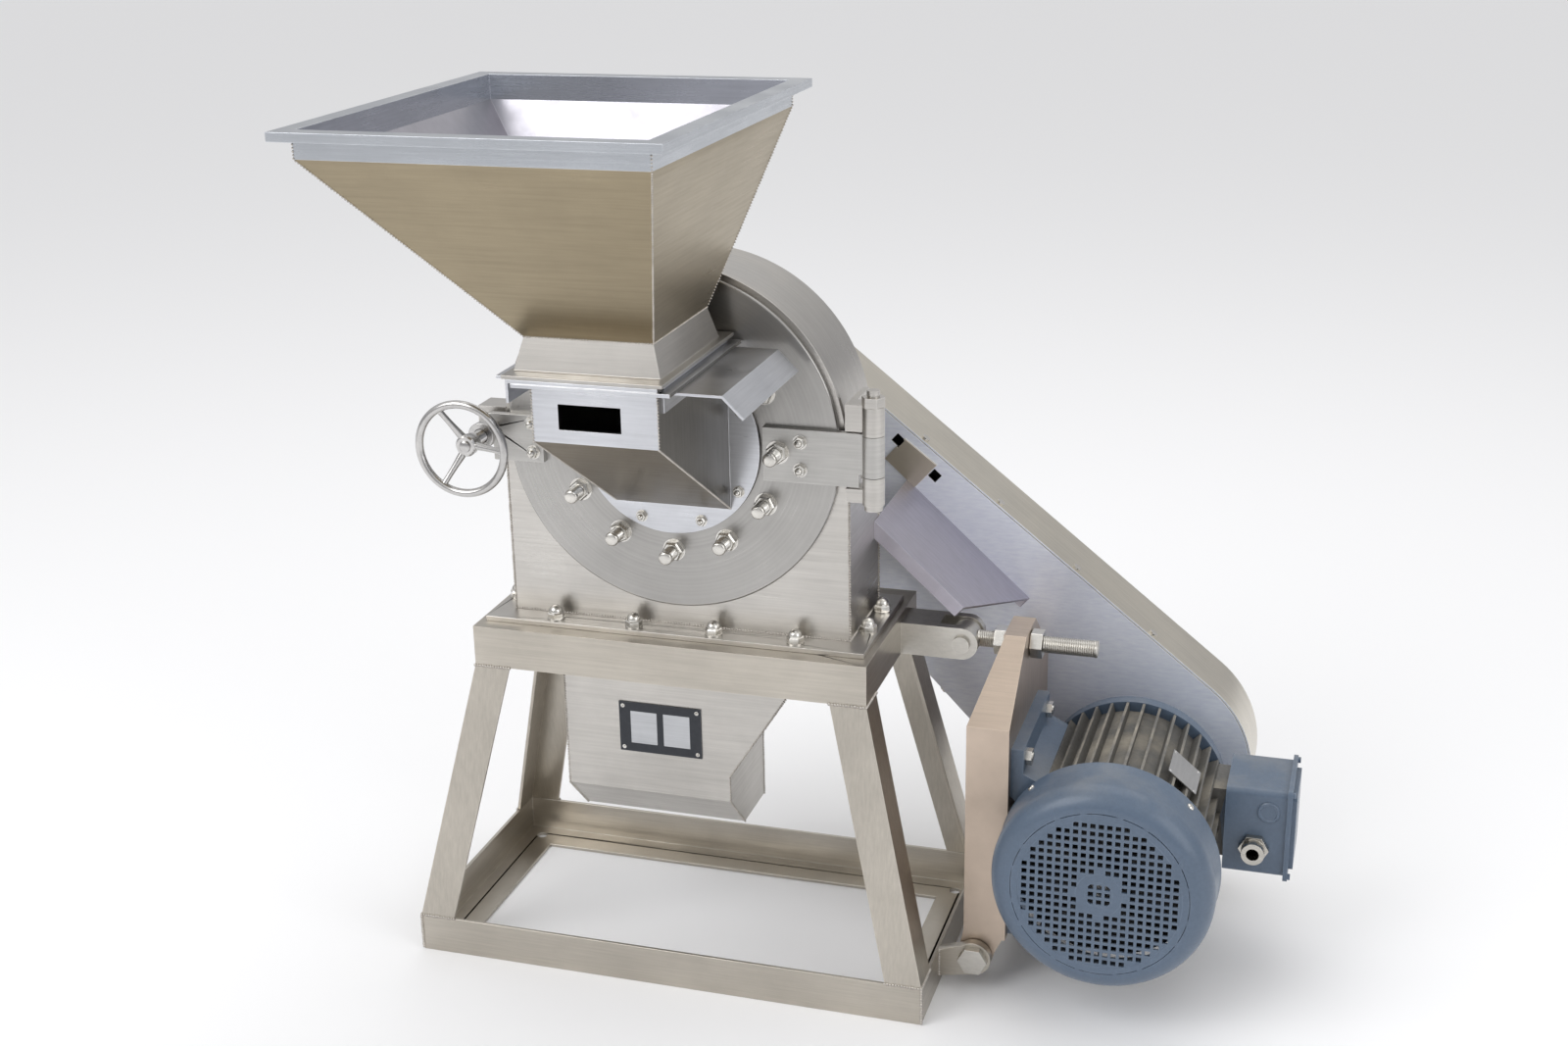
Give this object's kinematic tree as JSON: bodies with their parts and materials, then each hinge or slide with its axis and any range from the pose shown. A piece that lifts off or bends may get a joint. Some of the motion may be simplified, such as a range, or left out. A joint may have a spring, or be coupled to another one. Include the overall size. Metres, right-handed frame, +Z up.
{
  "type": "hammer mill",
  "caption": "Small hammer mill on an angle-iron stand, with a square hopper, a hinged round door, a bottom discharge spout and a guarded belt drive from a foot-mounted motor.",
  "frame": {"origin": "on the floor at the centre of the base frame's four anchor holes", "axes": "+X to the right along the mill's front, towards the motor; +Y from the door to the belt guard; +Z up"},
  "size_m": [0.99, 0.722, 1.012],
  "materials": {
    "frame_steel": "brushed",
    "spout_steel": "brushed",
    "nameplate": "satin",
    "housing_steel": "brushed",
    "cast_grey": "painted",
    "bearing_steel": "polished",
    "machined_steel": "turned",
    "hammer_steel": "ground",
    "fastener_steel": "polished",
    "belt_rubber": "matte",
    "guard_steel": "brushed",
    "motor_paint": "semi-gloss",
    "fan_plastic": "matte",
    "gland_nickel": "plated",
    "swing_steel": "brushed",
    "tension_steel": "satin",
    "door_steel": "brushed",
    "wheel_chrome": "polished",
    "chute_steel": "brushed",
    "hopper_steel": "brushed"
  },
  "bodies": {
    "stand": {"base_frame": "frame_steel", "leg_front_left": "frame_steel", "leg_front_right": "frame_steel", "leg_back_left": "frame_steel", "leg_back_right": "frame_steel", "top_frame": "frame_steel", "discharge_spout": "spout_steel", "spout_plate": "nameplate", "mill_housing": "housing_steel", "housing_bolts": "fastener_steel", "screen": "hammer_steel", "breaker_liner": "hammer_steel", "bearing_housing": "cast_grey", "bearing_cap": "cast_grey", "bearings": "bearing_steel", "bearing_pedestal": "housing_steel", "hinge_brackets": "housing_steel", "clamp_block": "housing_steel", "guard_tray": "guard_steel", "guard_cover": "guard_steel", "guard_channel": "guard_steel", "guard_screws": "fastener_steel", "drive_belts": "belt_rubber", "tension_bracket": "tension_steel", "pivot_pin": "fastener_steel"},
    "rotor": {"mill_shaft": "machined_steel", "rotor_discs": "machined_steel", "rotor_spacers": "machined_steel", "rotor_nut": "machined_steel", "hammer_pins": "machined_steel", "mill_pulley": "cast_grey"},
    "hammer_gang_a": {"hammers_a": "hammer_steel"},
    "hammer_gang_b": {"hammers_b": "hammer_steel"},
    "hammer_gang_c": {"hammers_c": "hammer_steel"},
    "hammer_gang_d": {"hammers_d": "hammer_steel"},
    "motor": {"swing_plate": "swing_steel", "motor_frame": "motor_paint", "motor_front_shield": "motor_paint", "motor_rear_shield": "motor_paint", "fan_cowl": "motor_paint", "motor_foot_bolts": "fastener_steel", "terminal_box": "motor_paint", "terminal_lid": "motor_paint", "cable_gland": "gland_nickel"},
    "motor_rotor": {"motor_shaft": "machined_steel", "cooling_fan": "fan_plastic", "motor_pulley": "cast_grey"},
    "tension_rod": {"tension_rod": "tension_steel"},
    "tension_nuts": {"tension_nuts": "fastener_steel"},
    "door": {"door_disc": "door_steel", "door_studs": "fastener_steel", "hinge_strap": "door_steel", "clamp_strap": "door_steel", "feed_chute": "chute_steel", "feed_hood": "chute_steel", "hopper_neck": "hopper_steel", "hopper": "hopper_steel"},
    "gate": {"feed_gate": "chute_steel"},
    "clamp_slide": {"clamp_collar": "wheel_chrome"},
    "handwheel": {"handwheel": "wheel_chrome"}
  },
  "joints": [
    {"name": "motor_spin", "type": "hinge", "parent": "motor", "child": "motor_rotor", "pos_m": [0.493, 0.1, 0.18], "axis": [0, 1, 0], "continuous": true},
    {"name": "rotor_spin", "type": "hinge", "parent": "stand", "child": "rotor", "pos_m": [0, 0, 0.63], "axis": [0, 1, 0], "continuous": true},
    {"name": "hammers_a_swing", "type": "hinge", "parent": "rotor", "child": "hammer_gang_a", "pos_m": [0.098, -0.002, 0.63], "axis": [0, 1, 0], "range_deg": [-25, 25]},
    {"name": "hammers_b_swing", "type": "hinge", "parent": "rotor", "child": "hammer_gang_b", "pos_m": [0, -0.002, 0.728], "axis": [0, 1, 0], "range_deg": [-25, 25]},
    {"name": "hammers_c_swing", "type": "hinge", "parent": "rotor", "child": "hammer_gang_c", "pos_m": [-0.098, -0.002, 0.63], "axis": [0, 1, 0], "range_deg": [-25, 25]},
    {"name": "hammers_d_swing", "type": "hinge", "parent": "rotor", "child": "hammer_gang_d", "pos_m": [0, -0.002, 0.532], "axis": [0, 1, 0], "range_deg": [-25, 25]},
    {"name": "motor_tilt", "type": "hinge", "parent": "stand", "child": "motor", "pos_m": [0.345, 0.04, 0.04], "axis": [0, 1, 0], "range_deg": [-1.5, 2.5], "deforming": ["drive_belts"]},
    {"name": "tension_rod_pivot", "type": "hinge", "parent": "stand", "child": "tension_rod", "pos_m": [0.303, 0.061, 0.379], "axis": [0, 1, 0], "range_deg": [-0.5, 0.7]},
    {"name": "tension_nut_travel", "type": "slide", "parent": "tension_rod", "child": "tension_nuts", "axis": [1, 0, 0], "range_m": [-0.0095, 0.0155]},
    {"name": "door_swing", "type": "hinge", "parent": "stand", "child": "door", "pos_m": [0.231, -0.08, 0.63], "axis": [0, 0, 1], "range_deg": [0, 100]},
    {"name": "gate_slide", "type": "slide", "parent": "door", "child": "gate", "axis": [-1, 0, 0], "range_m": [0, 0.12]},
    {"name": "clamp_travel", "type": "slide", "parent": "door", "child": "clamp_slide", "axis": [0, 1, 0], "range_m": [0, 0.02]},
    {"name": "handwheel_turn", "type": "hinge", "parent": "clamp_slide", "child": "handwheel", "pos_m": [-0.208, -0.15, 0.633], "axis": [0, 1, 0], "range_deg": [0, 3600]}
  ],
  "couplings": [
    {"joint": "rotor_spin", "follows": "motor_spin", "ratio": 1.7778},
    {"joint": "tension_rod_pivot", "follows": "motor_tilt", "ratio": 0.25},
    {"joint": "tension_nut_travel", "follows": "motor_tilt", "m_per_rad": 0.339},
    {"joint": "clamp_travel", "follows": "handwheel_turn", "m_per_rad": 0.0003183}
  ]
}
